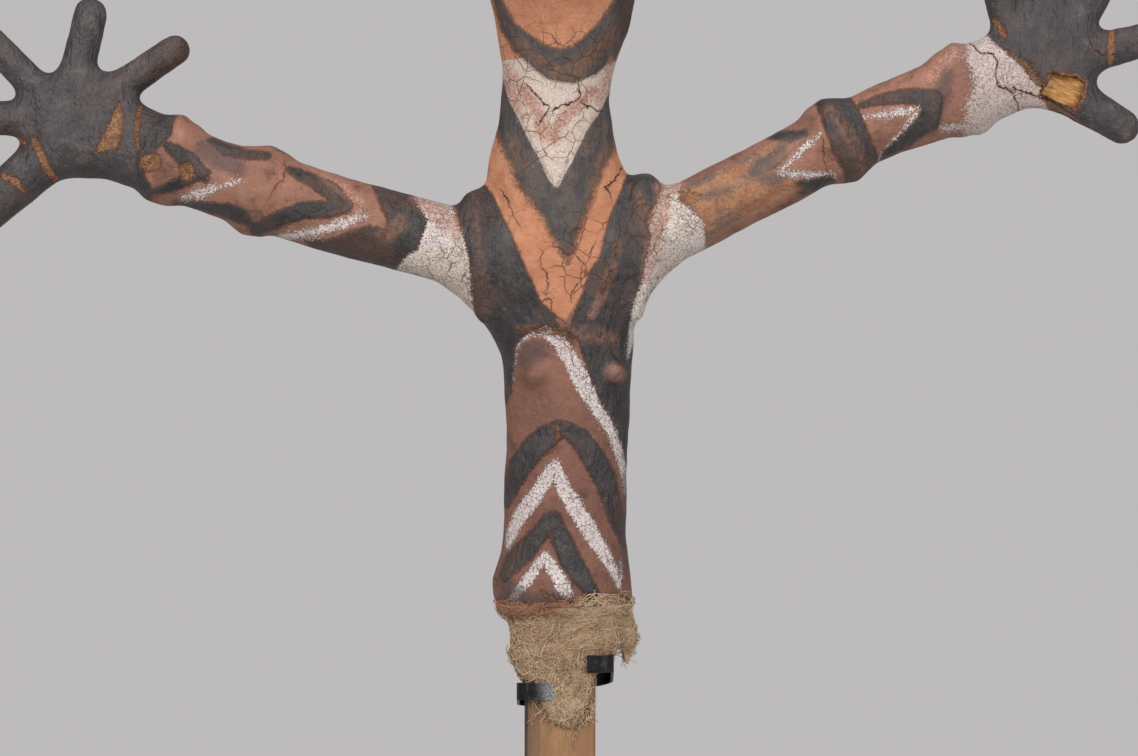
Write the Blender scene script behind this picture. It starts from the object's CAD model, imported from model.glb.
import math

import bmesh
import bpy
import numpy as np
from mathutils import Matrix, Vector, noise
from mathutils.bvhtree import BVHTree


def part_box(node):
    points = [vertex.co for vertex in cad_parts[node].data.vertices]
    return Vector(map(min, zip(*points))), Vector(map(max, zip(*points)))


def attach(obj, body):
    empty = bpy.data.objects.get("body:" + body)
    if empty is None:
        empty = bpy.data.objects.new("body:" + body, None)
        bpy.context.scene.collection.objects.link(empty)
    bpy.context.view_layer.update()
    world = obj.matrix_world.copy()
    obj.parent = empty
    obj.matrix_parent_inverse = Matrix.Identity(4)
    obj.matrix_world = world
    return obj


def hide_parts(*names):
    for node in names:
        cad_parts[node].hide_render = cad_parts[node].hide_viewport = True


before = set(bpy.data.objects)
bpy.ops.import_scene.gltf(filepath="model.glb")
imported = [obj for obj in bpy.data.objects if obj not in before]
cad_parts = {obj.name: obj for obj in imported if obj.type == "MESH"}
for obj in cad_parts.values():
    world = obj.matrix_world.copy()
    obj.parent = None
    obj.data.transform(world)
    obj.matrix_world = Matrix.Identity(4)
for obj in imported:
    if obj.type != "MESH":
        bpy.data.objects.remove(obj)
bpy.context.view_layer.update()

MM = 0.001


# View and studio. The figure is seen from straight in front, a little above its middle and cut off at jaw,
# finger tips and stake, on a round pale floor before plain pale air, in soft light from the front.
figure_low, figure_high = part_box("figure")
HEM = figure_low.z

VIEW_WIDTH = 808 * MM  # how much of the figure's own plane the picture is wide
VIEW_MIDDLE = Vector((6.4 * MM, 0, HEM + 159 * MM))
VIEW_DISTANCE = 2.2
SENSOR = 36
LIGHTS = {  # place, aim, width, height and watts
    "key light": ((-1.5, -2.2, 1.7), (0, 0, 0.65), 1.1, 1.4, 49),
    "fill light": ((1.7, -2.0, 1.0), (0, 0, 0.6), 1.1, 1.6, 28),
    "top light": ((0.2, -0.4, 2.4), (0, 0.1, 0.6), 1.6, 1.0, 14),
}
AIR_STRENGTH = 0.34
FLOOR_RADIUS = 1.8  # small enough to lie below the picture
FLOOR_SIDES = 96
FLOOR_ROUGHNESS = 0.9

camera = bpy.data.objects.new("camera", bpy.data.cameras.new("camera"))
camera.data.sensor_width = SENSOR
camera.data.lens = SENSOR * VIEW_DISTANCE / VIEW_WIDTH
camera.location = VIEW_MIDDLE + Vector((0, -VIEW_DISTANCE, 0))
camera.rotation_euler = (math.radians(90), 0, 0)
bpy.context.collection.objects.link(camera)
bpy.context.scene.camera = camera


def colour(red, green, blue):
    """A screen colour of 0 to 255 as the linear colour that a shader takes."""
    shares = (red / 255, green / 255, blue / 255)
    return (*(c / 12.92 if c <= 0.04045 else ((c + 0.055) / 1.055) ** 2.4 for c in shares), 1)


for name, (place, aim, width, height, watts) in LIGHTS.items():
    lamp = bpy.data.objects.new(name, bpy.data.lights.new(name, "AREA"))
    lamp.data.shape = "RECTANGLE"
    lamp.data.size, lamp.data.size_y = width, height
    lamp.data.energy = watts
    lamp.location = place
    lamp.rotation_euler = (Vector(aim) - Vector(place)).to_track_quat("-Z", "Y").to_euler()
    bpy.context.collection.objects.link(lamp)

# The air gives one light and shows another tone, so that the picture's ground stays even.
world = bpy.data.worlds.new("studio air")
world.use_nodes = True
air = world.node_tree
air.nodes["Background"].inputs["Color"].default_value = colour(236, 238, 242)
air.nodes["Background"].inputs["Strength"].default_value = AIR_STRENGTH
seen_air = air.nodes.new("ShaderNodeBackground")
seen_air.inputs["Color"].default_value = colour(189, 187, 187)
which = air.nodes.new("ShaderNodeLightPath")
either = air.nodes.new("ShaderNodeMixShader")
air.links.new(which.outputs["Is Camera Ray"], either.inputs[0])
air.links.new(air.nodes["Background"].outputs[0], either.inputs[1])
air.links.new(seen_air.outputs[0], either.inputs[2])
air.links.new(either.outputs[0], air.nodes["World Output"].inputs["Surface"])
bpy.context.scene.world = world
bpy.context.scene.view_settings.view_transform = "Standard"


def mesh_object(name, points, faces, edges=()):
    mesh = bpy.data.meshes.new(name)
    mesh.from_pydata([tuple(p) for p in points], [tuple(e) for e in edges], [tuple(f) for f in faces])
    mesh.update()
    made = bpy.data.objects.new(name, mesh)
    bpy.context.collection.objects.link(made)
    return made


turns = [2 * math.pi * n / FLOOR_SIDES for n in range(FLOOR_SIDES)]
rim = [(FLOOR_RADIUS * math.cos(turn), FLOOR_RADIUS * math.sin(turn), 0) for turn in turns]
floor = mesh_object("floor", rim, [range(FLOOR_SIDES)])
paper = bpy.data.materials.new("pale floor")
paper.use_nodes = True
paper.node_tree.nodes["Principled BSDF"].inputs["Base Color"].default_value = colour(204, 203, 202)
paper.node_tree.nodes["Principled BSDF"].inputs["Roughness"].default_value = FLOOR_ROUGHNESS
floor.data.materials.append(paper)


# Figure. Dried plant paste modelled by hand over a pole, with long arms and open star-shaped hands, dried,
# cracked and painted with earths: brick red under black, orange and speckled white chevrons.
SKIN_STEP = 2.5 * MM  # spacing of the fine skin's points
SMOOTHING_ROUNDS = 14
LUMP_DEPTH = 1.3 * MM
LUMP_SINK = 0.1
LUMPS = [(34 * MM, 0.7, 0.0), (11 * MM, 0.3, 50.0)]  # size, weight and seed
SAME_PLACE = 0.01 * MM


def copy_of(node):
    """A merged copy of a CAD node's mesh."""
    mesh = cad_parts[node].data.copy()
    work = bmesh.new()
    work.from_mesh(mesh)
    bmesh.ops.remove_doubles(work, verts=work.verts, dist=SAME_PLACE)
    work.to_mesh(mesh)
    work.free()
    mesh.materials.clear()
    made = bpy.data.objects.new("finished_" + node, mesh)
    bpy.context.collection.objects.link(made)
    return made


def settled(thing):
    """The object with its modifiers worked into its mesh."""
    evaluated = thing.evaluated_get(bpy.context.evaluated_depsgraph_get())
    mesh = bpy.data.meshes.new_from_object(evaluated)
    name = thing.name
    bpy.data.objects.remove(thing)
    made = bpy.data.objects.new(name, mesh)
    bpy.context.collection.objects.link(made)
    return made


def rows_of(items, name):
    """One row of three numbers for each of a mesh's items."""
    rows = np.empty(len(items) * 3)
    items.foreach_get(name, rows)
    return rows.reshape(-1, 3)


def move_to(mesh, places):
    mesh.vertices.foreach_set("co", places.ravel())
    mesh.update()


def relax(mesh, rounds):
    """Smooths a mesh without thinning it, by turns of pulling in and pushing out."""
    ends = np.empty(len(mesh.edges) * 2, dtype=np.int64)
    mesh.edges.foreach_get("vertices", ends)
    ends = ends.reshape(-1, 2)
    places = rows_of(mesh.vertices, "co")
    count = len(places)
    degree = np.bincount(ends.ravel(), minlength=count)
    for strength in (0.6, -0.62) * rounds:
        mean = np.empty_like(places)
        for axis in range(3):
            total = np.bincount(ends[:, 0], places[ends[:, 1], axis], count)
            total += np.bincount(ends[:, 1], places[ends[:, 0], axis], count)
            mean[:, axis] = total / degree
        places += strength * (mean - places)
    move_to(mesh, places)


def prism(name, outline, near, far):
    """A closed prism of an outline of (x, z) points, between two depths."""
    count = len(outline)
    points = [(x, y, z) for y in (near, far) for x, z in outline]
    faces = [tuple(range(count))[::-1], tuple(range(count, 2 * count))]
    faces += [(n, (n + 1) % count, count + (n + 1) % count, count + n) for n in range(count)]
    made = mesh_object(name, points, faces)
    work = bmesh.new()
    work.from_mesh(made.data)
    bmesh.ops.recalc_face_normals(work, faces=work.faces)
    work.to_mesh(made.data)
    work.free()
    return made


# The broken place at the right wrist, as (out, up) in millimetres from the slat's middle.
slat_low, slat_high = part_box("wrist_slat")
SLAT_MIDDLE = (slat_low + slat_high) / 2
SLAT_FILLING = 1.12  # how much the slat is swollen to close its pocket before the skin is made
SLAT_CLEARANCE = 1.03  # and to cut its pocket again
BREAK_EDGE = [
    (-7.5, 10), (3, 7.5), (9.5, 7.3), (16.3, 3), (14, -6), (10.5, -14), (-3.5, -10), (-14.5, -4), (-10, 2.5),
]
BREAK_STEP = 0.6
PLAIN_STEP = 3
BREAK_RAGGED = 0.9
PALM_FACE = -12.2 * MM
BREAK_FRONT = -40 * MM
BREAK_FLOOR = slat_low.y + 0.3 * MM


def wavering(x, z, far, coarse, fine):
    """A coarse and a fine unevenness at a place, of up to about that distance."""
    return far * noise.noise((x * 0.5, z * 0.5, coarse)) + 0.5 * far * noise.noise((x * 1.9, z * 1.9, fine))


def ragged_outline(corners, step, ragged):
    """A closed outline in metres round the slat's middle, with a broken, wavering edge."""
    edge = []
    for (ax, az), (bx, bz) in zip(corners, corners[1:] + corners[:1]):
        count = max(1, round(math.hypot(bx - ax, bz - az) / step))
        for n in range(count):
            x, z = ax + (bx - ax) * n / count, az + (bz - az) * n / count
            x += wavering(x, z, ragged, 3.1, 8.2)
            z += wavering(x, z, ragged, 11.7, 5.5)
            edge.append((SLAT_MIDDLE.x + x * MM, SLAT_MIDDLE.z + z * MM))
    return edge


def swollen_slat(factor):
    made = copy_of("wrist_slat")
    for vertex in made.data.vertices:
        vertex.co = SLAT_MIDDLE + (vertex.co - SLAT_MIDDLE) * factor
    return made


def cut(thing, cutter):
    """Takes the cutter's shape out of the thing."""
    modifier = thing.modifiers.new("cut", "BOOLEAN")
    modifier.operation = "DIFFERENCE"
    modifier.solver = "MANIFOLD"
    modifier.object = cutter
    made = settled(thing)
    bpy.data.objects.remove(cutter)
    return made


# Finer forms, pressed in or raised: every place out, height above the hem, half sizes and height over the
# skin in millimetres. They are the nipples, then the eyelids, eyes, mouth, chin and nostrils.
FINER_FORMS = [
    ([39], 163, (6, 6), 2.8),
    ([-20], 160, (6.5, 6.5), 1.8),
    ([-27, 29], 522, (17, 2.2), -2.0),
    ([-27, 29], 537, (18, 2.4), -2.4),
    ([-28, 30], 529, (12, 4.5), 1.6),
    ([1], 464.5, (21, 1.8), -3.4),
    ([1], 478, (3.5, 7), -1.6),
    ([1], 469.5, (17, 3.0), 2.2),
    ([1], 459, (15, 3.4), 2.8),
    ([1], 450, (15, 3.4), -2.2),
    ([-7, 9], 490, (3.4, 2.6), -3.6),
    ([-15, 17], 492, (4, 6), 1.4),
]

figure = copy_of("figure")
window_filler = prism("window filler", ragged_outline(BREAK_EDGE, PLAIN_STEP, 0), PALM_FACE, SLAT_MIDDLE.y)
joined = [figure, swollen_slat(SLAT_FILLING), window_filler]
with bpy.context.temp_override(active_object=figure, selected_editable_objects=joined):
    bpy.ops.object.join()
remesh = figure.modifiers.new("fine skin", "REMESH")
remesh.mode = "VOXEL"
remesh.voxel_size = SKIN_STEP
figure = settled(figure)
relax(figure.data, SMOOTHING_ROUNDS)

places = rows_of(figure.data.vertices, "co")
normals = rows_of(figure.data.vertex_normals, "vector")
swell = np.zeros(len(places))
for size, weight, seed in LUMPS:
    swell += weight * np.array([noise.noise((x / size, y / size, z / size + seed)) for x, y, z in places])
move = (swell - LUMP_SINK) * LUMP_DEPTH
in_front = np.clip(-normals[:, 1] * 2, 0, 1) * (places[:, 1] < 0)
out, up = places[:, 0] / MM, (places[:, 2] - HEM) / MM
for places_out, z, (half_x, half_z), height in FINER_FORMS:
    for x in places_out:
        bell = np.exp(-(((out - x) / half_x) ** 2) - ((up - z) / half_z) ** 2)
        move += height * MM * bell * in_front
places += normals * move[:, None]
move_to(figure.data, np.clip(places, figure_low, figure_high))
figure = cut(figure, swollen_slat(SLAT_CLEARANCE))
ragged_edge = ragged_outline(BREAK_EDGE, BREAK_STEP, BREAK_RAGGED)
figure = cut(figure, prism("break", ragged_edge, BREAK_FRONT, BREAK_FLOOR))

# Paint, as (out, above hem) in millimetres. A field is the outline of a painted patch. A stroke is the
# middle of a brushed band, with half its width as a third number.
OCHRE = {
    "face, neck and chest V": [
        (-64, 295), (-53, 295), (-48, 289), (-43, 278), (-35, 262), (-28, 245), (-20, 228), (-13, 211),
        (-4, 204), (4, 200), (9, 207), (16, 219), (20, 233), (28, 243), (31, 258), (36, 275),
        (42, 288), (47, 302), (71, 328), (85, 655), (-85, 655),
    ],
}
BLACK_FIELDS = {
    "chest": [
        (-52, 300), (-63, 298), (-77, 285), (-72, 277), (-68, 260), (-63, 243), (-62, 223), (-60, 206),
        (-58, 182), (-53, 143), (-38, 141), (-34, 150), (-32, 168), (-31, 182), (-23, 191), (-11, 196),
        (4, 193), (13, 186), (20, 163), (28, 143), (37, 129), (44, 111), (49, 87), (64, 87), (64, 207),
        (57, 223), (60, 244), (63, 260), (60, 272), (67, 280), (72, 295), (60, 310), (47, 304),
        (4, 186),
    ],
    "throat V": [
        (-42, 368), (-46, 337), (-40, 320), (-33, 305), (-28, 292), (-19, 280), (-11, 270), (-6, 258),
        (1, 248), (5, 240), (9, 248), (13, 260), (18, 272), (24, 289), (28, 302), (35, 315), (41, 329),
        (41, 368),
    ],
    "left hand": [
        (-511, 541), (-227, 541), (-238, 385), (-291, 352), (-271, 348), (-273, 330), (-282, 320),
        (-293, 302), (-285, 290), (-312, 268), (-511, 143),
    ],
    "left arm point": [
        (-106, 293), (-100, 279), (-93, 270), (-96, 261), (-100, 250), (-108, 245), (-119, 233),
        (-144, 239), (-173, 248), (-180, 256), (-165, 256), (-153, 260), (-135, 266), (-121, 263),
        (-121, 270), (-127, 282), (-135, 300),
    ],
    "elbow ring": [
        (179, 356), (186, 334), (192, 316), (201, 303), (203, 293), (223, 296), (225, 315), (217, 330),
        (211, 344), (204, 361), (186, 362),
    ],
    "right hand": [
        (295, 470), (301, 406), (307, 395), (319, 386), (328, 378), (338, 369), (342, 360), (349, 351),
        (359, 339), (369, 314), (525, 214), (525, 640), (284, 640),
    ],
}
BLACK_STROKES = {
    "jaw": [
        (-64, 534, 2.8), (-58, 470, 5.0), (-45, 427, 2.8), (-36, 405, 5.0), (-26, 393, 7.1),
        (-13, 383, 9.2), (-3, 378, 11.4), (8, 377, 12.1), (18, 382, 12.1), (30, 393, 12.1),
        (40, 408, 9.9), (49, 426, 7.8), (62, 470, 6.4), (68, 534, 2.8),
    ],
    "first belly chevron, left": [
        (1, 124, 5.7), (-8, 119, 7.8), (-18, 110, 8.5), (-28, 97, 7.8), (-34, 84, 6.4), (-38, 71, 3.5),
    ],
    "first belly chevron, right": [
        (4, 124, 5.0), (14, 117, 7.1), (23, 104, 7.8), (31, 90, 7.8), (36, 74, 6.4), (41, 57, 5.0),
        (45, 44, 2.8),
    ],
    "second belly chevron, left": [
        (-6, 62, 4.3), (-13, 51, 5.7), (-23, 40, 7.1), (-33, 29, 6.4), (-39, 20, 3.5),
    ],
    "second belly chevron, right": [
        (-4, 62, 4.3), (0, 49, 6.4), (7, 33, 7.1), (14, 22, 6.4), (23, 9, 4.3),
    ],
    "left wrist, slanting": [
        (-276, 323, 2.0), (-269, 318, 4.5), (-261, 312, 5.7), (-252, 303, 4.5), (-248, 298, 1.5),
    ],
    "left wrist, lower": [
        (-286, 290, 1.5), (-275, 293, 3.5), (-264, 297, 4.0), (-252, 302, 3.0), (-246, 304, 1.0),
    ],
    "left forearm, underside": [
        (-272, 282, 1.4), (-250, 280, 3.0), (-234, 277, 5.0), (-224, 273, 5.4), (-216, 267, 2.4),
    ],
    "left forearm, top": [(-246, 327, 2.1), (-234, 320, 4.3), (-220, 316, 3.5), (-206, 315, 2.8)],
    "left arm, small point": [
        (-189, 305, 2.8), (-172, 297, 5.0), (-160, 290, 5.7), (-150, 280, 5.0), (-163, 277, 5.7),
        (-180, 277, 5.7), (-197, 271, 5.7), (-214, 264, 4.3),
    ],
    "right arm, top": [(148, 331, 3.5), (160, 329, 5.0), (172, 331, 2.8)],
    "right arm, middle": [(138, 305, 3.5), (148, 311, 6.4), (156, 315, 3.5)],
    "right arm, underside": [(152, 291, 2.8), (170, 293, 5.0), (190, 297, 4.3)],
    "right arm, near the shoulder": [(102, 285, 5.0), (109, 288, 5.7), (118, 291, 3.5)],
    "right forearm, hook": [
        (212, 351, 2.1), (231, 356, 4.3), (250, 357, 5.7), (261, 354, 7.1), (259, 340, 7.1),
        (245, 328, 5.0), (229, 316, 2.8),
    ],
}
WHITE_FIELDS = {
    "bib": [
        (-43, 392), (44, 399), (36, 364), (28, 346), (18, 331), (9, 311), (2, 299), (-2, 290),
        (-8, 298), (-14, 312), (-20, 322), (-29, 341), (-36, 355), (-40, 370),
    ],
    "left shoulder": [
        (-114, 294), (-92, 289), (-77, 287), (-73, 271), (-67, 257), (-63, 245), (-62, 226),
        (-60, 204), (-80, 217), (-97, 225), (-124, 232), (-108, 245), (-100, 250), (-96, 261),
        (-93, 270), (-100, 279),
    ],
    "right shoulder": [
        (67, 280), (62, 264), (60, 244), (54, 220), (67, 220), (79, 231), (90, 240), (104, 250),
        (102, 268), (94, 276), (84, 284), (87, 300), (71, 301),
    ],
    "right wrist": [
        (284, 404), (301, 412), (315, 405), (330, 396), (345, 380), (352, 362),
        (352, 334), (311, 327), (295, 320), (284, 328), (282, 348), (289, 364), (283, 381),
    ],
}
WHITE_STROKES = {
    "belly arch": [
        (-34, 150, 0.5), (-32, 168, 1.0), (-29, 182, 1.6), (-21, 189, 2.0), (-11, 191, 3.2),
        (0, 184, 5.7), (9, 169, 6.4), (17, 153, 6.4), (27, 138, 6.0), (38, 121, 5.3), (43, 104, 4.3),
        (46, 90, 3.2), (47, 78, 2.8),
    ],
    "upper belly chevron, left": [
        (-4, 99, 3.5), (-10, 87, 5.7), (-19, 74, 5.7), (-28, 62, 5.7), (-34, 49, 4.3), (-37, 40, 2.1),
    ],
    "upper belly chevron, right": [
        (-2, 100, 2.8), (2, 83, 5.7), (11, 68, 6.4), (21, 52, 6.4), (31, 36, 5.0), (38, 23, 3.5),
        (42, 12, 2.1),
    ],
    "lower belly chevron, left": [(-12, 34, 3.0), (-19, 23, 4.2), (-28, 11, 4.2), (-34, 3, 2.6)],
    "lower belly chevron, right": [(-10, 36, 2.8), (-5, 26, 5.0), (1, 16, 5.7), (5, 9, 4.3)],
    "belly edge": [(43, 33, 0.9), (43, 17, 1.5)],
    "left forearm": [(-267, 286, 2.1), (-252, 289, 4.3), (-240, 293, 2.8), (-224, 297, 2.8)],
    "left arm": [(-138, 273, 3.5), (-153, 267, 4.3), (-175, 261, 4.3), (-199, 258, 3.5)],
    "right armpit": [(60, 222, 5.0), (55.5, 205, 6.2), (51, 189, 3.8), (48, 173, 1.0)],
    "right arm, upper": [(153, 302, 2.8), (168, 317, 2.8), (183, 331, 2.5)],
    "right arm, lower": [(153, 302, 2.8), (173, 302, 3.5), (192, 302, 2.8)],
    "right forearm, upper": [(214, 342, 2.1), (230, 344, 3.5), (245, 347, 3.5), (255, 349, 2.8)],
    "right forearm, lower": [(252, 346, 3.5), (245, 334, 5.0), (236, 323, 4.3), (227, 314, 2.8)],
    "right wrist": [(269, 335, 2.8), (284, 336, 3.5), (298, 336, 3.5)],
}
PINK_STROKES = {
    "left arm": [(-167, 302, 2.8), (-152, 293, 4.3), (-141, 283, 4.3), (-138, 273, 3.5)],
    "left shoulder": [(-103, 287, 3.5), (-85, 275, 7.1), (-72, 261, 4.3)],
    "right shoulder": [(75, 293, 5.7), (71, 275, 6.4), (67, 257, 5.0), (60, 229, 3.5)],
    "bib, left": [(-33, 371, 2.6), (-24, 358, 4.0), (-14, 342, 4.6), (-13, 331, 5.0), (-4, 326, 4.0)],
    "bib, right": [(24, 361, 3.6), (9, 347, 4.4), (-1, 336, 4.4), (-6, 327, 3.5)],
    "bib, left edge": [(-38, 378, 1.5), (-35, 366, 2.8), (-30, 352, 3.0), (-24, 340, 1.8)],
    "bib, right edge": [(37, 384, 1.5), (32, 366, 2.2), (26, 352, 1.4)],
    "right shoulder, top": [(70, 293, 4.5), (84, 293, 6), (95, 288, 5)],
    "right wrist": [(258, 368, 4), (266, 376, 5), (275, 386, 5.5), (279, 392, 4)],
    "right nipple": [(37, 164, 4.6), (41, 162, 4.6)],
    "right chest": [(38, 236, 0.6), (33, 226, 1.4), (29, 216, 2.2), (22, 203, 2.0)],
}
# Bare patches, where the paint has flaked from the paste, and rubbed or torn lines.
BARE_FIELDS = {
    "left palm flake": [
        (-311, 354), (-308, 344), (-308, 334), (-311, 321), (-321, 319), (-329, 317), (-321, 332),
        (-316, 344),
    ],
    "left wrist flake": [(-295, 315), (-285, 317), (-279, 314), (-280, 306), (-290, 304), (-295, 308)],
    "left forearm flake": [(-267, 308), (-260, 310), (-256, 305), (-258, 298), (-265, 297)],
    "right shoulder flake": [(85, 289), (92, 291), (99, 288), (98, 283), (91, 281), (86, 284)],
}
BARE_STROKES = {
    "right palm edge": [(307, 414, 1.2), (311, 407, 2.2), (314, 399, 1.4)],
    "left thumb root": [(-371, 327, 2.1), (-366, 317, 2.8), (-362, 307, 2.8), (-356, 298, 2.1)],
    "left finger root": [(-389, 330, 1.4), (-383, 327, 2.1), (-378, 325, 1.4)],
    "left palm, scratches": [(-297, 351, 1.4), (-298, 335, 1.4), (-297, 320, 1.4)],
    "right finger root": [(391, 406, 2.1), (389, 393, 2.8), (390, 381, 2.1)],
    "right wrist band": [(317, 388, 1.4), (328, 379, 2.1), (339, 366, 2.1)],
    "right wrist, under the break": [(341, 359, 2.1), (352, 349, 2.1), (366, 341, 2.1)],
    "right chest": [(36, 233, 0.9), (33, 226, 1.1), (30, 219, 0.8)],
    "right chest, small": [(38, 251, 1.6), (38.5, 252, 1.4)],
    "belly top": [(-28, 193, 0.6), (-11, 192, 1.0), (4, 190, 1.1), (9, 182, 0.7)],
    "hem, frayed edge": [(-13, 10, 0.8), (-5, 5, 1.5), (3, 2, 1.4), (12, 5, 0.8), (20, 7, 1.2)],
    "left hip": [(-47, 16, 1.5), (-46, 14, 1.8)],
    "left thumb": [(-393, 302, 2.1), (-383, 297, 2.8), (-379, 291, 1.4)],
    "first chevron apex": [(-2, 126, 1.4), (-2, 117, 1.4)],
}
CRACKS = {
    "bib, left": [(-23, 364), (-14, 354), (-6, 347), (6, 351), (13, 354), (18, 349), (28, 347)],
    "bib, middle": [(-6, 347), (-11, 343), (-14, 338)],
    "bib, right": [(13, 354), (14, 359), (13, 364)],
    "left forearm": [(-194, 310), (-193, 300), (-200, 293), (-204, 284)],
    "right arm": [(184, 327), (185, 321), (185, 315), (187, 307)],
    "right wrist, long": [
        (290, 396), (295, 389), (300, 387), (305, 387), (308, 380), (305, 372), (309, 364), (317, 362),
        (321, 356), (325, 349),
    ],
    "right wrist, across": [(320, 363), (332, 359), (342, 356), (351, 353), (366, 343)],
    "chest, left": [(-13, 241), (-12, 235), (-8, 229), (-9, 220), (-6, 212)],
    "chest, right": [(16, 237), (14, 227), (10, 221), (8, 214)],
    "chest, low": [(-13, 210), (-10, 217), (-3, 202), (4, 197)],
    "shoulder, left": [(-40, 290), (-36, 283), (-33, 273), (-28, 265)],
    "shoulder, right": [(43, 307), (38, 297), (32, 293), (36, 285)],
    "belly, upper": [(-28, 192), (-18, 190), (-6, 190), (2, 185), (7, 178), (9, 169)],
    "right palm": [(375, 396), (377, 391), (383, 387)],
}

# The face's own paint, in the same manner. Its left strokes are mirrored to the right.
FACE_MIDDLE = 1


def both_sides(strokes):
    """The strokes, with a mirrored one for each that is named as left."""
    mirrored = {
        name.replace("left", "right"): [(2 * FACE_MIDDLE - x, z, half) for x, z, half in line]
        for name, line in strokes.items() if "left" in name
    }
    return {**strokes, **mirrored}


FACE_BLACK_FIELDS = {
    "cap": [
        (-90, 588), (-62, 584), (-34, 590), (-14, 600), (1, 578), (16, 600), (36, 590), (64, 584), (92, 588),
        (92, 700), (-90, 700),
    ],
}
FACE_BLACK_STROKES = both_sides({
    "left eye, upper": [(-44, 527, 1.2), (-34, 535, 2.2), (-24, 535.5, 2.4), (-12, 528, 1.2)],
    "left eye, lower": [(-44, 527, 1), (-33, 522.5, 1.4), (-22, 522.5, 1.4), (-12, 528, 1)],
    "left pupil": [(-28, 529.5, 3.6), (-28, 529.4, 3.6)],
    "mouth": [(-19, 465.5, 0.9), (-8, 464, 1.5), (10, 464, 1.5), (21, 465.5, 0.9)],
    "left cheek": [(-62, 500, 3), (-40, 488, 5), (-24, 470, 3)],
})
FACE_WHITE_STROKES = both_sides({
    "cap edge": [
        (-92, 580, 4), (-62, 577, 4), (-34, 583, 4), (-15, 592, 4), (1, 570, 4), (17, 592, 4),
        (36, 583, 4), (64, 577, 4), (94, 580, 4),
    ],
    "left eye": [(-40, 528, 2), (-28, 529, 6), (-16, 528, 2)],
    "left cheek": [(-58, 486, 2), (-40, 475, 4), (-30, 462, 3)],
})


# Worn places, where soft brown rubbing covers the paint, and smoke, a thin dark wash that lies over both.
WORN_FIELDS = {
    "right upper arm": [
        (87, 295), (99, 300), (124, 312), (149, 324), (160, 326), (158, 314), (146, 306), (163, 298),
        (170, 292), (156, 283), (135, 273), (114, 263), (103, 257), (101, 270), (92, 282),
    ],
}
WORN_STROKES = {
    "jaw": [(-30, 394, 3), (-14, 381, 4), (-2, 373, 5), (10, 374, 6), (24, 386, 5), (38, 402, 4)],
    "throat, left": [(-33, 322, 4), (-26, 306, 3)],
    "throat, right": [(34, 322, 3), (27, 306, 4), (20, 288, 3)],
    "left upper arm": [(-112, 268, 6), (-122, 260, 7)],
    "elbow ring": [(190, 347, 4.5), (200, 333, 5), (208, 319, 4.5), (213, 306, 3)],
    "right chest": [(44, 256, 2.2), (38, 240, 3), (31, 222, 3), (23, 203, 2)],
    "right shoulder roll": [(54, 290, 3), (60, 275, 4), (62, 258, 3.5), (60, 240, 2)],
    "left shoulder roll": [(-58, 270, 2), (-57, 250, 2.5), (-52, 228, 2)],
    "belly top": [(-30, 194, 2), (-11, 193, 3), (6, 191, 4), (22, 190, 6), (36, 186, 5)],
    "right nipple": [(36, 163, 6), (41, 161, 5)],
    "left nipple": [(-17, 162, 5), (-13, 160, 5)],
}
SMOKE_FIELDS = {
    "inside the belly arch": [(-28, 184), (-16, 186), (-8, 180), (-12, 170), (-28, 166), (-31, 172)],
    "hem, left": [(-44, 26), (-20, 8), (6, 8), (12, 0), (-44, 0)],
}
SMOKE_STROKES = {
    "lips": [
        (-15, 467, 1.2), (-4, 469.5, 2.6), (1, 468.5, 2.6), (6, 469.5, 2.6), (17, 467, 1.2),
        (1, 459.5, 3.4), (-13, 462, 1.5),
    ],
    "left flank": [(-44, 150, 4), (-42, 120, 3), (-42, 90, 2)],
    "right flank": [(48, 90, 4), (47, 60, 3), (46, 30, 3)],
    "left forearm": [(-250, 318, 8), (-225, 306, 6)],
    "right forearm": [(262, 336, 5), (268, 358, 6), (272, 372, 4)],
    "right upper arm, outer": [(155, 319, 4), (143, 310, 4.5), (135, 304, 3)],
    "right upper arm, inner": [(101, 287, 2.5), (118, 291, 3)],
}


FAR = 60.0  # stands for any greater distance, in millimetres
FLAKE_DEPTH = 0.9 * MM  # how far the paint and its ground stand over the bare patches
FLAKE_SLOPE = 1.5
FACE_FROM = 384  # height of the jaw band's lowest inner edge
SOFT_BRUSH = 0.45  # how much less steep the blurred edge of the throat's V is
SOFT_DABBING = 0.32  # the same for the dabbed white of the right wrist
ARM_DABBING = 0.6  # and for the dusty white bands on the arms
ARMS_FROM = 125
BIB_LAP = 1.5  # how far the throat's black runs on under the bib
BANDS_END = 12  # how far behind the middle the brushed bands run out
HAIR_BEHIND = 22  # the black cap runs down behind this depth
HAIR_ABOVE = 380
HAIR_LEVEL = 560
HAIR_SLANT = 0.16


def beside(spots, start, end):
    """Each spot's nearest place on a line, as a share of its length, and its offset from there."""
    start, end = np.array(start, float), np.array(end, float)
    way = end - start
    share = np.clip((spots - start) @ way / (way @ way), 0, 1)
    return share, spots - start - share[:, None] * way


def from_field(spots, outline):
    """Distance of each spot to a field's edge, negative inside it."""
    nearest = np.full(len(spots), np.inf)
    inside = np.zeros(len(spots), bool)
    for a, b in zip(outline, outline[1:] + outline[:1]):
        nearest = np.minimum(nearest, np.linalg.norm(beside(spots, a, b)[1], axis=1))
        if a[1] != b[1]:
            spans = (a[1] > spots[:, 1]) != (b[1] > spots[:, 1])
            crossing = a[0] + (spots[:, 1] - a[1]) * (b[0] - a[0]) / (b[1] - a[1])
            inside ^= spans & (spots[:, 0] < crossing)
    return np.where(inside, -nearest, nearest)


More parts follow.
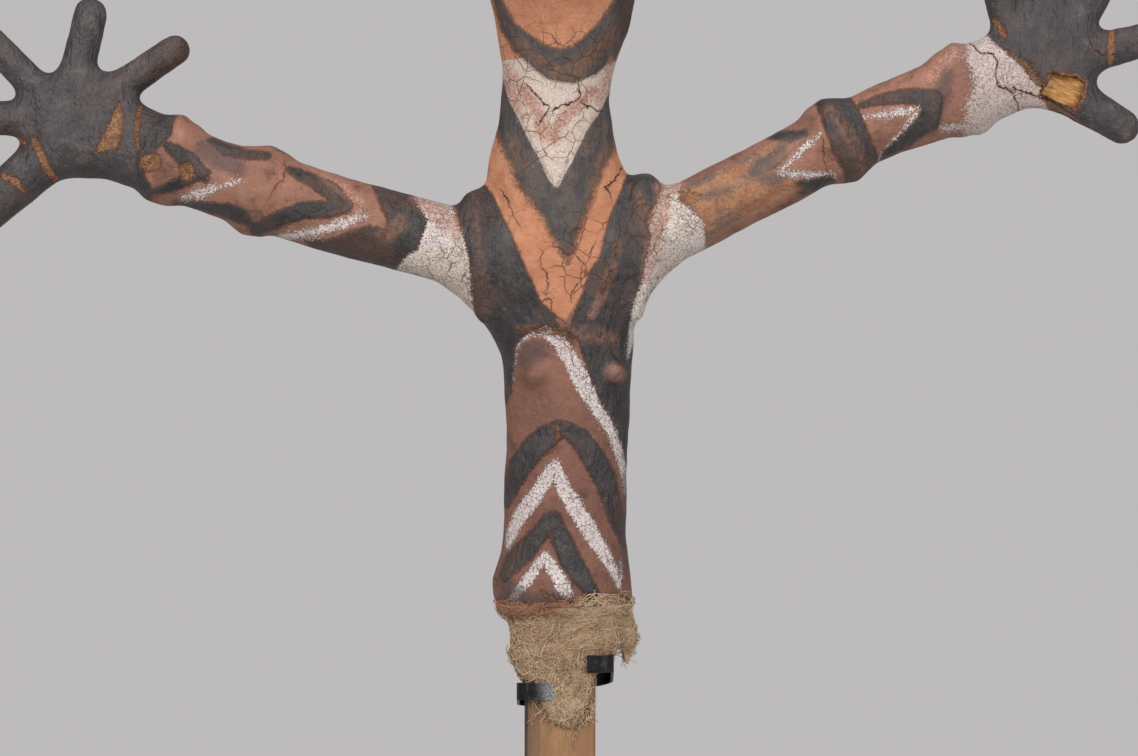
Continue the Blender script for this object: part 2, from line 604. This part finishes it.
def from_stroke(spots, line):
    """Distance of each spot to the edge of a brushed band, negative inside it."""
    nearest = np.full(len(spots), np.inf)
    for (*a, half_a), (*b, half_b) in zip(line, line[1:]):
        share, off = beside(spots, a, b)
        nearest = np.minimum(nearest, np.linalg.norm(off, axis=1) - half_a - share * (half_b - half_a))
    return nearest


def from_all(spots, fields=(), strokes=(), without=()):
    """Distance to the nearest of the fields and strokes, but for those left out by name."""
    nearest = np.full(len(spots), FAR)
    for shapes, measured in ((fields, from_field), (strokes, from_stroke)):
        for name, shape in dict(shapes).items():
            if name not in without:
                nearest = np.minimum(nearest, measured(spots, shape))
    return nearest


def across_cracks(spots, lines):
    """Each spot's distance to its nearest crack, and the same with a sign for the crack's side."""
    near = side = np.full(len(spots), FAR)
    for line in lines.values():
        for (ax, az), (bx, bz) in zip(line, line[1:]):
            off = beside(spots, (ax, az), (bx, bz))[1]
            far = np.linalg.norm(off, axis=1)
            signed = np.where((bx - ax) * off[:, 1] - (bz - az) * off[:, 0] < 0, -far, far)
            near, side = np.where(far < near, (far, signed), (near, side))
    return near, side


def keep(mesh, name, values):
    mesh.attributes.new(name, "FLOAT", "POINT").data.foreach_set("value", values.astype(np.float32))


places = rows_of(figure.data.vertices, "co")
spots = np.column_stack([places[:, 0], places[:, 2] - HEM]) / MM
depth = places[:, 1] / MM
front = depth < 0
bands_end = depth - BANDS_END
ochre = from_all(spots, OCHRE)
jaw = from_stroke(spots, BLACK_STROKES["jaw"])
bib = from_field(spots, WHITE_FIELDS["bib"])
armpit = from_stroke(spots, WHITE_STROKES["right armpit"])

face_black = np.where(front, from_all(spots, strokes=FACE_BLACK_STROKES), FAR)
face_white = np.where(front, from_all(spots, strokes=FACE_WHITE_STROKES, without=["cap edge"]), FAR)
cap_edge = np.maximum(from_stroke(spots, FACE_WHITE_STROKES["cap edge"]), depth - HAIR_BEHIND)
face_white = np.maximum(np.minimum(face_white, cap_edge), -face_black)
hair = np.maximum(HAIR_BEHIND + HAIR_SLANT * (HAIR_LEVEL - spots[:, 1]) - depth, HAIR_ABOVE - spots[:, 1])

black = np.minimum.reduce([
    np.maximum(from_all(spots, strokes=BLACK_STROKES, without=["jaw"]), bands_end),
    np.maximum(from_field(spots, BLACK_FIELDS["chest"]), -ochre),
    from_all(spots, BLACK_FIELDS, without=["chest", "throat V"]),
    SOFT_BRUSH * from_field(spots, BLACK_FIELDS["throat V"]),
])
black = np.minimum(np.maximum(black, -BIB_LAP - bib), jaw)
black = np.maximum(black, -face_white)
black = np.minimum.reduce([black, face_black, from_all(spots, FACE_BLACK_FIELDS), hair])

white_bands = from_all(spots, strokes=WHITE_STROKES)
white_bands *= np.where(np.abs(spots[:, 0]) > ARMS_FROM, ARM_DABBING, 1)
white = np.minimum.reduce([
    np.maximum(white_bands, bands_end),
    from_all(spots, WHITE_FIELDS, without=["right wrist"]),
    SOFT_DABBING * from_field(spots, WHITE_FIELDS["right wrist"]),
])
white = np.maximum.reduce([white, -from_field(spots, BLACK_FIELDS["right hand"]), -black])
white = np.minimum.reduce([white, np.maximum(bib, -jaw), np.maximum(armpit, bands_end)])
white = np.maximum(white, np.where(spots[:, 1] > FACE_FROM, -ochre, white))
white = np.minimum(white, face_white)

bare = np.where(front, from_all(spots, BARE_FIELDS, BARE_STROKES), FAR)
sunk = np.clip(-bare / FLAKE_SLOPE, 0, 1) * FLAKE_DEPTH
places -= rows_of(figure.data.vertex_normals, "vector") * sunk[:, None]
move_to(figure.data, places)
near, side = across_cracks(spots, CRACKS)
broken = from_field(spots, [(SLAT_MIDDLE.x / MM + x, (SLAT_MIDDLE.z - HEM) / MM + z) for x, z in BREAK_EDGE])
for name, distances in {
    "ochre": ochre,
    "black": black,
    "white": white,
    "pink": np.maximum(from_all(spots, strokes=PINK_STROKES), bands_end),
    "bare": bare,
    "worn": np.where(front, from_all(spots, WORN_FIELDS, WORN_STROKES), FAR),
    "smoke": from_all(spots, SMOKE_FIELDS, SMOKE_STROKES),
    "crack_near": np.where(front, near, FAR),
    "crack_side": np.where(front, side, FAR),
    "broken": np.where(front, broken, FAR),
}.items():
    keep(figure.data, name, distances)


class Shader:
    """A material's node tree, built up by short calls that each give an output."""

    def __init__(self, name):
        self.material = bpy.data.materials.new(name)
        self.material.use_nodes = True
        self.tree = self.material.node_tree
        self.surface = self.tree.nodes["Principled BSDF"]
        self.places = self.add("ShaderNodeTexCoord").outputs["Object"]

    def add(self, kind, inputs=None, **settings):
        made = self.tree.nodes.new(kind)
        for name, value in settings.items():
            setattr(made, name, value)
        for name, value in (inputs or {}).items():
            self.feed(made.inputs[name], value)
        return made

    def feed(self, socket, value):
        if isinstance(value, bpy.types.NodeSocket):
            self.tree.links.new(value, socket)
        else:
            socket.default_value = value

    def attribute(self, name):
        return self.add("ShaderNodeAttribute", attribute_name=name).outputs["Fac"]

    def axes(self):
        return self.add("ShaderNodeSeparateXYZ", {"Vector": self.places}).outputs

    def sum(self, operation, a, b=0.0, c=0.0):
        return self.add("ShaderNodeMath", {0: a, 1: b, 2: c}, operation=operation).outputs[0]

    def times(self, first, *others):
        for other in others:
            first = self.sum("MULTIPLY", first, other)
        return first

    def plus(self, base, *parts):
        """The base and a share of each part, given as (part, share)."""
        for part, share in parts:
            base = self.sum("MULTIPLY_ADD", part, share, base)
        return base

    def unsteady(self, base, *grains):
        """The base, moved up and down by each grain, given as (grain, how far)."""
        return self.plus(base, *((self.sum("SUBTRACT", grain, 0.5), far) for grain, far in grains))

    def grain(self, size, detail=3.0, roughness=0.55, seed=0.0, stretch=(1, 1, 1), warp=None):
        """Cloudy noise of 0 to 1 whose patches are about that many millimetres wide."""
        where = self.add("ShaderNodeMapping", {
            "Vector": warp or self.places, "Location": (seed, seed, seed), "Scale": stretch,
        }).outputs[0]
        return self.add("ShaderNodeTexNoise", {
            "Vector": where, "Scale": 1000 / size, "Detail": detail, "Roughness": roughness,
        }).outputs["Fac"]

    def step(self, value, low, high, at_low=0.0, at_high=1.0):
        """Eases from one value to another as the input goes from low to high."""
        return self.add("ShaderNodeMapRange", {
            "Value": value, "From Min": low, "From Max": high, "To Min": at_low, "To Max": at_high,
        }, interpolation_type="SMOOTHSTEP").outputs["Result"]

    def mix(self, share, a, b):
        made = self.add("ShaderNodeMix", {"Factor": share}, data_type="RGBA")
        self.feed(made.inputs[6], a)
        self.feed(made.inputs[7], b)
        return made.outputs[2]

    def coats(self, under, *coats):
        """Lays colours over one another. A coat is a value, where on it the coat starts and is full, how
        much it covers and its screen colour."""
        for value, start, full, cover, tone in coats:
            under = self.mix(self.step(value, start, full, 0, cover), under, colour(*tone))
        return under

    def warped(self, size, far):
        """The object's coordinates, wavering by a distance in millimetres."""
        wave = self.add("ShaderNodeTexNoise", {"Vector": self.places, "Scale": 1000 / size, "Detail": 2.0})
        moved = wave.outputs["Color"]
        for operation, other in (("SUBTRACT", {1: (0.5, 0.5, 0.5)}), ("SCALE", {"Scale": 2 * far * MM}),
                                 ("ADD", {1: self.places})):
            moved = self.add("ShaderNodeVectorMath", {0: moved, **other}, operation=operation).outputs[0]
        return moved

    def cells(self, size, warp, edge_low, edge_high):
        """Crack lines round cells of about that many millimetres: 1 on the line and 0 beside it."""
        made = self.add("ShaderNodeTexVoronoi", {"Vector": warp, "Scale": 1000 / size},
                        feature="DISTANCE_TO_EDGE")
        return self.step(made.outputs["Distance"], edge_low, edge_high, 1.0, 0.0)

    def finish(self, colour, roughness, height):
        """Height is in millimetres."""
        bump = self.add("ShaderNodeBump", {"Height": height, "Strength": 1.0, "Distance": MM})
        self.feed(self.surface.inputs["Base Color"], colour)
        self.feed(self.surface.inputs["Roughness"], roughness)
        self.feed(self.surface.inputs["Normal"], bump.outputs["Normal"])
        return self.material


paste = Shader("painted plant paste")
waver = paste.warped(14, 4)
far_grain = paste.grain(70, 2, 0.5, 23.0)
broad = paste.grain(48, 3, 0.6)
along_arm = paste.grain(17, 4, 0.62, 21.0, (0.4, 1, 1))
patchy = paste.grain(15, 5, 0.68, 3.0)
dabs = paste.grain(8, 3, 0.6, 31.0, (1, 1, 0.4))
middling = paste.grain(5, 4, 0.62, 7.0)
fine = paste.grain(1.7, 3, 0.65, 11.0)
grit = paste.grain(0.75, 2, 0.6, 17.0)
across, _, upwards = paste.axes()
sideways = paste.sum("ABSOLUTE", across)


def painted(name, ragged, soft, inner=0.0):
    """1 inside a painted area and 0 outside, with an edge that is ragged and soft by those millimetres."""
    far, near = 4 * ragged, 2 * ragged
    edge = paste.unsteady(paste.attribute(name), (middling, far), (fine, far), (grit, near))
    return paste.step(edge, inner - soft, inner + soft, 1.0, 0.0)


def beyond(low, high, at_low=0.0, at_high=1.0):
    """Eases between two distances to either side of the middle, in millimetres."""
    return paste.step(sideways, low * MM, high * MM, at_low, at_high)


def above(low, high, at_low=0.0, at_high=1.0):
    """Eases between two heights above the hem, in millimetres."""
    return paste.step(upwards, HEM + low * MM, HEM + high * MM, at_low, at_high)


# Where the same paint is another by place: dusty throat, slate hands, creamy white, smooth bib, golden arm.
at_hands = beyond(285, 305)
at_throat = paste.times(above(235, 260, 0, 0.75), beyond(36, 46, 1, 0))
creamy = paste.times(
    above(190, 210, 0.15, 0.85), beyond(125, 160, 1, 0.3), paste.step(broad, 0.4, 0.56, 0.25, 1),
)
on_bib = paste.times(above(280, 285), beyond(60, 50))
on_arm = paste.times(paste.step(across, 78 * MM, 92 * MM), paste.step(across, 186 * MM, 178 * MM))

red = paste.coats(
    colour(128, 86, 70),
    (broad, 0.35, 0.65, 1, (157, 107, 87)),
    (far_grain, 0.5, 0.66, 0.3, (152, 112, 84)),
    (patchy, 0.46, 0.7, 0.7, (96, 64, 55)),
    (patchy, 0.42, 0.3, 0.6, (174, 122, 98)),
    (fine, 0.55, 0.8, 0.5, (186, 140, 114)),
    (grit, 0.56, 0.72, 0.4, (84, 52, 42)),
    (upwards, HEM + 220 * MM, HEM + 150 * MM, 0.42, (98, 58, 46)),
)
orange = paste.coats(
    colour(176, 114, 82),
    (patchy, 0.3, 0.7, 1, (201, 141, 107)),
    (broad, 0.45, 0.7, 0.5, (182, 122, 92)),
    (fine, 0.6, 0.8, 0.45, (146, 88, 60)),
)
dusty = paste.coats(colour(72, 68, 67), (patchy, 0.42, 0.62, 1, (94, 84, 78)))
slate = paste.coats(
    colour(50, 44, 44),
    (patchy, 0.3, 0.7, 1, (70, 62, 62)),
    (broad, 0.48, 0.66, 0.6, (80, 66, 61)),
    (patchy, 0.58, 0.68, 0.5, (98, 90, 88)),
    (grit, 0.62, 0.75, 0.35, (118, 112, 110)),
)
soot = paste.coats(
    colour(38, 34, 34),
    (patchy, 0.35, 0.7, 1, (60, 55, 54)),
    (broad, 0.46, 0.62, 0.7, (84, 58, 48)),
    (middling, 0.56, 0.72, 0.55, (96, 68, 54)),
    (grit, 0.6, 0.75, 0.5, (126, 114, 106)),
)
soot = paste.mix(at_hands, paste.mix(at_throat, soot, dusty), slate)
cream = paste.coats(colour(178, 156, 130), (fine, 0.4, 0.6, 1, (212, 197, 172)))
smooth = paste.coats(colour(186, 164, 152), (patchy, 0.4, 0.6, 1, (216, 198, 180)))
chalk = paste.coats(colour(166, 136, 130), (fine, 0.36, 0.56, 1, (216, 203, 200)))
chalk = paste.coats(
    paste.mix(creamy, chalk, cream),
    (grit, 0.5, 0.6, 0.8, (238, 232, 232)),
    (grit, 0.42, 0.34, 0.7, (118, 80, 72)),
)
chalk = paste.mix(paste.times(on_bib, 0.55), chalk, smooth)
rose = paste.coats(colour(150, 98, 80), (fine, 0.4, 0.6, 1, (192, 148, 130)))
bare = paste.coats(
    colour(136, 84, 50),
    (middling, 0.35, 0.65, 1, (186, 132, 84)),
    (fine, 0.48, 0.62, 0.85, (74, 44, 30)),
    (grit, 0.58, 0.68, 0.55, (212, 162, 104)),
)
broken = paste.coats(colour(56, 36, 25), (fine, 0.4, 0.62, 1, (146, 88, 50)))
golden = paste.coats(
    colour(140, 92, 64),
    (patchy, 0.35, 0.62, 1, (172, 122, 86)),
    (along_arm, 0.5, 0.6, 0.75, (92, 84, 82)),
    (along_arm, 0.4, 0.33, 0.6, (146, 98, 74)),
    (fine, 0.56, 0.7, 0.55, (196, 152, 112)),
)
brown = paste.coats(colour(98, 68, 52), (middling, 0.38, 0.62, 1, (130, 88, 66)))
brown = paste.coats(paste.mix(on_arm, brown, golden), (fine, 0.46, 0.34, 0.5, (86, 58, 46)))

in_ochre = painted("ochre", 0.4, 1.2)
thin_black = paste.step(paste.sum("ADD", patchy, fine), 1.06, 1.24, 1.0, 0.9)
in_black = paste.times(painted("black", 0.9, 1.7), paste.sum("MAXIMUM", thin_black, at_hands))
from_white = paste.attribute("white")
white_grain = paste.unsteady(paste.step(from_white, -3.4, 1.8, 1, 0), (fine, 2.0), (grit, 1.8), (patchy, 0.9))
in_white = paste.times(
    paste.step(white_grain, 0.36, 0.66), beyond(262, 285, 0.93, 0.68), paste.step(from_white, 1.0, 2.4, 1, 0),
)
in_white = paste.sum("MAXIMUM", in_white, paste.times(painted("white", 0.5, 0.7), on_bib, 0.94))
pink_cover = paste.sum("MAXIMUM", paste.step(middling, 0.4, 0.6, 0.45, 0.85), paste.times(on_bib, 0.8))
worn_cover = paste.sum("MAXIMUM", paste.step(middling, 0.38, 0.6, 0.3, 0.8), paste.times(on_arm, 0.9))
in_bare = paste.times(painted("bare", 1.6, 0.5), paste.step(fine, 0.36, 0.5, 0.3, 0.95))
bare_rim = paste.times(painted("bare", 1.6, 0.9, 1.1), paste.step(on_arm, 0, 1, 0.8, 0.1))
skin_colour = red
for share, coat in (
    (in_ochre, orange),
    (in_black, soot),
    (in_white, chalk),
    (paste.times(painted("pink", 1.4, 3.0), pink_cover), rose),
    (paste.times(painted("worn", 1.8, 3.0), worn_cover), brown),
    (paste.times(painted("smoke", 1.0, 3.5), 0.72), colour(74, 62, 60)),
    (bare_rim, colour(66, 42, 32)),
    (in_bare, bare),
    (painted("broken", 1.4, 0.6, 2.6), broken),
):
    skin_colour = paste.mix(share, skin_colour, coat)

# Cracks: wide cells over the chest, small ones in patches and in the white, and the drawn cracks.
wide_cells = paste.cells(13, waver, 0.006, 0.03)
small_cells = paste.cells(4.2, waver, 0.02, 0.07)
crackle = paste.times(
    wide_cells, paste.step(broad, 0.46, 0.56), above(185, 215, 0.12, 1), above(390, 410, 1, 0.35),
    beyond(90, 120, 1, 0.3),
)
crackle = paste.sum("MAXIMUM", crackle, paste.times(small_cells, paste.step(patchy, 0.56, 0.66, 0, 0.7)))
crackle = paste.times(crackle, paste.sum("SUBTRACT", 1.0, at_hands))
edged = paste.times(
    small_cells, in_white, paste.step(patchy, 0.44, 0.58, 0, 0.7), paste.step(on_bib, 0, 1, 1.0, 0.3),
)
crackle = paste.sum("MAXIMUM", crackle, edged)
beside_crack = paste.sum("ABSOLUTE", paste.unsteady(paste.attribute("crack_side"), (middling, 7.0)))
crack_near = paste.attribute("crack_near")
deep_cracks = paste.sum("MAXIMUM", on_bib, beyond(250, 260))
crack_line = paste.step(paste.plus(beside_crack, (deep_cracks, -0.2)), 0.05, 0.34, 1, 0)
crack_line = paste.times(crack_line, paste.step(crack_near, 2.5, 4, 1, 0))
torn = paste.times(
    paste.step(beside_crack, 0.5, 2.2, 1, 0), paste.step(fine, 0.46, 0.6),
    paste.step(crack_near, 2.5, 4, 0.7, 0),
)
for share, coat in (
    (torn, colour(142, 88, 54)),
    (paste.times(crackle, 0.75), colour(76, 48, 36)),
    (paste.times(crack_line, paste.step(deep_cracks, 0, 1, 0.7, 1)), colour(46, 28, 20)),
):
    skin_colour = paste.mix(share, skin_colour, coat)

height = paste.plus(
    paste.times(middling, 1.2),
    (patchy, 2.2), (fine, 0.4), (dabs, paste.times(in_black, paste.step(on_arm, 0, 1, 4.0, 0.3))),
    (grit, paste.plus(0.1, (in_white, 0.3))), (crackle, -0.4), (crack_line, -1.4), (in_bare, -0.8),
    (in_white, 0.2),
)
gloss = paste.plus(0.58, (in_black, -0.2), (in_ochre, 0.2), (fine, 0.15))
figure.data.materials.clear()
figure.data.materials.append(paste.finish(skin_colour, gloss, height))
for face in figure.data.polygons:
    face.material_index = 0
    face.use_smooth = True
figure.data.set_sharp_from_angle(angle=math.radians(48))
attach(figure, "root")
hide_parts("figure")


# Wrist slat. A flat strip of pale, dry wood under the broken paste of the right wrist, with open grain
# that runs down towards the thumb.
GRAIN_TURN = math.radians(25)

slat = copy_of("wrist_slat")
wood = Shader("pale dry wood")
turned = wood.add("ShaderNodeMapping", {"Vector": wood.places, "Rotation": (0, -GRAIN_TURN, 0)}).outputs[0]
streaks = wood.grain(1.2, 4, 0.6, 2.0, (0.12, 1, 1), turned)
blotches = wood.grain(6, 3, 0.6, 5.0, (0.5, 1, 1), turned)
wood_colour = wood.coats(
    colour(150, 96, 46),
    (streaks, 0.35, 0.65, 1, (214, 164, 98)),
    (blotches, 0.5, 0.75, 0.6, (160, 92, 46)),
)
slat.data.materials.append(wood.finish(wood_colour, 0.7, wood.times(streaks, 0.8)))
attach(slat, "root")
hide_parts("wrist_slat")


# Tow wrap. Teased, matted plant fibre wound round the stake and pressed up against the figure's hem, with
# a lobe and a tail at the right and a tongue that hangs down the front of the stake. Its top edge is
# smeared with red paste at the left and laps over the hem at the right.
FIBRE_HALF = 0.27 * MM
FIBRE_SIDES = 3
FEWEST_PLACES = 4  # a shorter fibre is left out
RAY_FROM = 0.12  # rays onto the tow start this far from its middle
UNDER_HEM = 0.6 * MM  # how far below the hem the windings stay
WINDING_STEPS = 22
WINDING_COUNT = 430
WINDING_JUMP = 11 * MM  # a winding ends where the tow's surface drops away by more
FRIZZ_STEPS = 8
FRIZZ_COUNT = 1500
TONGUE_STEPS = 16
TONGUE_COUNT = 190
TIP_COUNT = 90
LAP_COUNT = 230
TAIL_STEPS = 10
TAIL_ROUNDS = 4
BODY_TONE = 0.25  # the tow's body is darker than most of its fibres
TRAIL_ENDS = [(12, -103), (9, -98), (14, -96), (3, -92), (-12, -84), (20, -88)]
TAIL_ENDS = [(45.6, -47), (46.5, -45), (44.6, -43), (48, -42), (50, -38)]
TOW_SEED = 5

tow = copy_of("tow_wrap")
stake = copy_of("stake")


def tree_of(*things):
    """One search tree over the surfaces of several objects."""
    points, faces = [], []
    for thing in things:
        first = len(points)
        points.extend(vertex.co.copy() for vertex in thing.data.vertices)
        faces.extend([first + n for n in face.vertices] for face in thing.data.polygons)
    return BVHTree.FromPolygons(points, faces)


tow_skin = tree_of(tow)
under_fibres = tree_of(tow, stake)
over_hem = tree_of(tow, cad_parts["figure"])
draw = np.random.default_rng(TOW_SEED)
points, edges, tones = [], [], []


def strand(path):
    """Adds one fibre along a path of places."""
    if len(path) < FEWEST_PLACES:
        return
    start = len(points)
    tones.extend([draw.uniform(0, 1)] * len(path))
    points.extend(path)
    edges.extend((start + n, start + n + 1) for n in range(len(path) - 1))


def sway(at, seed, far):
    """A wandering offset of up to about that distance."""
    return far * 2 * noise.noise((at, seed, 0.5 * seed))


def outside(turn, height):
    """Where a ray from outside meets the tow at that turn and height, and the surface's normal there."""
    way = Vector((math.cos(turn), math.sin(turn), 0))
    return tow_skin.ray_cast(Vector((0, 0, height)) + way * RAY_FROM, -way)[:2]


for _ in range(WINDING_COUNT):
    start, sweep, seed = draw.uniform(0, 2 * math.pi), draw.uniform(0.5, 2.6), draw.uniform(0, 90)
    level, lift, rise = HEM + draw.uniform(-50, 6) * MM, draw.uniform(0, 0.9) * MM, draw.normal(0, 4) * MM
    path = []
    for step in range(WINDING_STEPS):
        turn = start + sweep * step / (WINDING_STEPS - 1)
        sag = -6 * MM * max(0, -math.sin(turn)) ** 2
        height = level + 9 * MM * math.cos(turn) + sag + rise * (turn - start)
        height += sway(turn * 1.6, seed, 2.6 * MM)
        hit, normal = outside(turn, min(height, HEM - UNDER_HEM))
        if not hit or path and (hit - path[-1]).length > WINDING_JUMP:
            strand(path)
            path = []
        if hit:
            path.append(hit + normal * (lift + sway(turn * 6, seed, 0.5 * MM)))
    strand(path)

for _ in range(FRIZZ_COUNT):
    turn, height = draw.uniform(0, 2 * math.pi), HEM + draw.uniform(-58, -1) * MM
    hit, normal = outside(turn, height)
    if not hit:
        continue
    way = Vector(draw.normal(0, 1, 3)).cross(normal).normalized()
    length, curl, stand = draw.uniform(5, 17) * MM, draw.normal(0, 1.6), draw.uniform(0.3, 2.6) * MM
    path = []
    for step in range(FRIZZ_STEPS):
        share = step / (FRIZZ_STEPS - 1)
        bend = normal.cross(way) * math.sin(curl * share) * length * 0.35
        stood = normal * stand * math.sin(math.pi * share ** 1.4)
        path.append(hit + way * length * (share - 0.5) + bend + stood)
    strand([place for place in path if place.z < HEM + 4 * MM])


def hang(top, bottom, seed, spread, reach, lift):
    """A fibre down the front from one (out, up) to another, lying on the tow and the stake."""
    path = []
    for step in range(TONGUE_STEPS):
        share = step / (TONGUE_STEPS - 1)
        x = top[0] + (bottom[0] - top[0]) * share + sway(share * 2.5, seed, spread)
        z = top[1] + (bottom[1] - top[1]) * share + sway(share * 2, seed + 40, spread * 0.5)
        hit, normal, _, _ = reach.ray_cast(Vector((x * MM, -RAY_FROM, HEM + z * MM)), Vector((0, 1, 0)))
        if hit:
            path.append(hit + normal * (lift + 0.5 * (1 + sway(share * 5, seed, 0.6))) * MM)
    strand(path)


for _ in range(TONGUE_COUNT):
    x, down = draw.uniform(-14, 20), draw.uniform(-58, -34)
    low = max(down - draw.uniform(8, 40), -90 + abs(x - 6) * 0.8)
    hang((x, down), (4 + (x - 4) * 0.85 + draw.normal(0, 4), low), draw.uniform(0, 90), 5, under_fibres,
         draw.uniform(0, 1.6))
for _ in range(TIP_COUNT):
    x, down = draw.uniform(-8, 18), draw.uniform(-72, -56)
    end = (x + draw.normal(0, 7), draw.uniform(-91, -78) + abs(x - 5) * 0.5)
    hang((x, down), end, draw.uniform(0, 90), 7, under_fibres, draw.uniform(0.2, 1.6))
for x, z in TRAIL_ENDS:
    hang((8 + draw.normal(0, 3), -68), (x, z), draw.uniform(0, 90), 3, under_fibres, 0.3)
for _ in range(LAP_COUNT):
    x = draw.uniform(-48, 50)
    top = 1.5 + draw.uniform(0, 8) * min(1, max(0, (x - 2) / 14))
    hang((x, top), (x + draw.normal(0, 11), top - draw.uniform(4, 12)), draw.uniform(0, 90), 5, over_hem,
         draw.uniform(0, 0.5))
for x, z in TAIL_ENDS * TAIL_ROUNDS:
    start = Vector((draw.uniform(44, 52), draw.uniform(-9, 2), draw.uniform(-26, -14)))
    end = Vector((x + draw.normal(0, 0.7), -3 + draw.normal(0, 1), z + draw.uniform(0, 5)))
    path = []
    for step in range(TAIL_STEPS):
        wander = Vector((sway(step / 4, x + z, 1), 0, 0))
        path.append((start.lerp(end, step / (TAIL_STEPS - 1)) + wander) * MM + Vector((0, 0, HEM)))
    strand(path)

fibres = mesh_object("tow_fibres", points, [], edges)
keep(fibres.data, "tone", np.array(tones))

thread_tree = bpy.data.node_groups.new("fibres from lines", "GeometryNodeTree")
entries = {}
for name, way, kind in (
    ("Geometry", "INPUT", "Geometry"), ("Half thickness", "INPUT", "Float"), ("Sides", "INPUT", "Int"),
    ("Material", "INPUT", "Material"), ("Geometry", "OUTPUT", "Geometry"),
):
    socket = thread_tree.interface.new_socket(name, in_out=way, socket_type="NodeSocket" + kind)
    entries[name] = socket.identifier
given, to_curve, section, to_mesh, realize, dress, result = (thread_tree.nodes.new(kind) for kind in (
    "NodeGroupInput", "GeometryNodeMeshToCurve", "GeometryNodeCurvePrimitiveCircle",
    "GeometryNodeCurveToMesh", "GeometryNodeRealizeInstances", "GeometryNodeSetMaterial", "NodeGroupOutput",
))
to_mesh.inputs["Fill Caps"].default_value = True
for source, output, target, entry in (
    (given, "Geometry", to_curve, "Mesh"),
    (given, "Sides", section, "Resolution"),
    (given, "Half thickness", section, "Radius"),
    (to_curve, "Curve", to_mesh, "Curve"),
    (section, "Curve", to_mesh, "Profile Curve"),
    (to_mesh, "Mesh", realize, "Geometry"),
    (realize, "Geometry", dress, "Geometry"),
    (given, "Material", dress, "Material"),
    (dress, "Geometry", result, "Geometry"),
):
    thread_tree.links.new(source.outputs[output], target.inputs[entry])

hemp = Shader("plant fibre")
tone = hemp.attribute("tone")
clump = hemp.grain(9, 3, 0.6, 1.0)
threads = hemp.grain(1.1, 3, 0.6, 4.0, (0.35, 0.35, 1))
across, _, upwards = hemp.axes()
smear = hemp.plus(
    hemp.sum("SUBTRACT", upwards, HEM - 6 * MM),
    (across, -0.14),
    (hemp.sum("MAXIMUM", across, 0), -0.5),
)
smear = hemp.unsteady(smear, (clump, 30 * MM))
hemp_colour = hemp.coats(
    hemp.mix(tone, colour(188, 153, 120), colour(236, 210, 176)),
    (clump, 0.5, 0.7, 0.5, (158, 122, 88)),
    (threads, 0.5, 0.66, 0.35, (134, 104, 76)),
    (smear, -3 * MM, 4 * MM, 0.78, (160, 106, 80)),
)
fibre_material = hemp.finish(hemp_colour, 0.9, hemp.times(threads, 1.4))

modifier = fibres.modifiers.new("spin", "NODES")
modifier.node_group = thread_tree
for name, value in (("Half thickness", FIBRE_HALF), ("Sides", FIBRE_SIDES), ("Material", fibre_material)):
    modifier[entries[name]] = value
fibres = settled(fibres)
tow.data.materials.append(fibre_material)
keep(tow.data, "tone", np.full(len(tow.data.vertices), BODY_TONE))
for thing in (tow, fibres):
    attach(thing, "root")
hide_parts("tow_wrap")


# Stake. A split pole, hewn with a blade: a flat front, a facet that falls away at the right and a rounded
# left corner with a strip of dark bark.
timber = Shader("hewn stake")
streaks = timber.grain(1.6, 4, 0.6, 2.0, (1, 1, 0.05))
bands = timber.grain(11, 3, 0.6, 6.0, (1, 1, 0.22))
stain = timber.grain(24, 4, 0.65, 9.0, (1, 1, 0.6))
across = timber.unsteady(timber.axes()["X"], (bands, 4 * MM))
stake_colour = timber.coats(
    colour(142, 103, 68),
    (bands, 0.35, 0.65, 1, (160, 118, 78)),
    (streaks, 0.48, 0.7, 0.4, (122, 86, 58)),
    (stain, 0.5, 0.68, 0.6, (186, 142, 94)),
    (stain, 0.42, 0.3, 0.5, (130, 94, 66)),
    (across, 10.5 * MM, 12.5 * MM, 0.5, (140, 98, 66)),
    (across, -12.5 * MM, -14.5 * MM, 0.7, (108, 84, 66)),
    (across, -22.5 * MM, -23.5 * MM, 0.9, (54, 34, 26)),
)
stake.data.materials.append(timber.finish(stake_colour, 0.5, timber.times(streaks, 0.5)))
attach(stake, "root")
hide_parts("stake")


# Display stand. Two strap hooks of blackened flat bar hold the stake to a square post on a steel plate. The
# blacking has flaked from the front of the straps at their left.
EDGE_WIDTH = 0.35 * MM
EDGE_SEGMENTS = 2
steel = Shader("blackened steel")
scuffs = steel.grain(7, 4, 0.6, 2.0)
flaking = steel.grain(1.3, 3, 0.6, 8.0)
across, backwards, upwards = steel.axes()
lower_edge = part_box("lower_strap")[0].z
flaked = steel.times(
    steel.step(across, -19 * MM, -5 * MM),
    steel.step(backwards, -26.2 * MM, -26.6 * MM),
    steel.step(across, -3.5 * MM, -3.6 * MM),
    steel.step(upwards, lower_edge - 2 * MM, lower_edge - MM),
    steel.step(flaking, 0.42, 0.55, 0.35, 1),
)
steel_colour = steel.coats(colour(36, 36, 38), (scuffs, 0.5, 0.7, 1, (58, 58, 61)))
steel_colour = steel.mix(flaked, steel_colour, colour(168, 168, 170))
steel.feed(steel.surface.inputs["Metallic"], 0.75)
steel_gloss = steel.step(scuffs, 0.3, 0.7, 0.3, 0.45)
steel_material = steel.finish(steel_colour, steel_gloss, steel.times(flaking, 0.3))
for node in ("upper_strap", "lower_strap", "stand_post", "base_plate"):
    bar = copy_of(node)
    bar.data.materials.append(steel_material)
    bevel = bar.modifiers.new("worn edges", "BEVEL")
    bevel.width = EDGE_WIDTH
    bevel.segments = EDGE_SEGMENTS
    bevel.limit_method = "ANGLE"
    bar = settled(bar)
    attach(bar, "root")
    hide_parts(node)
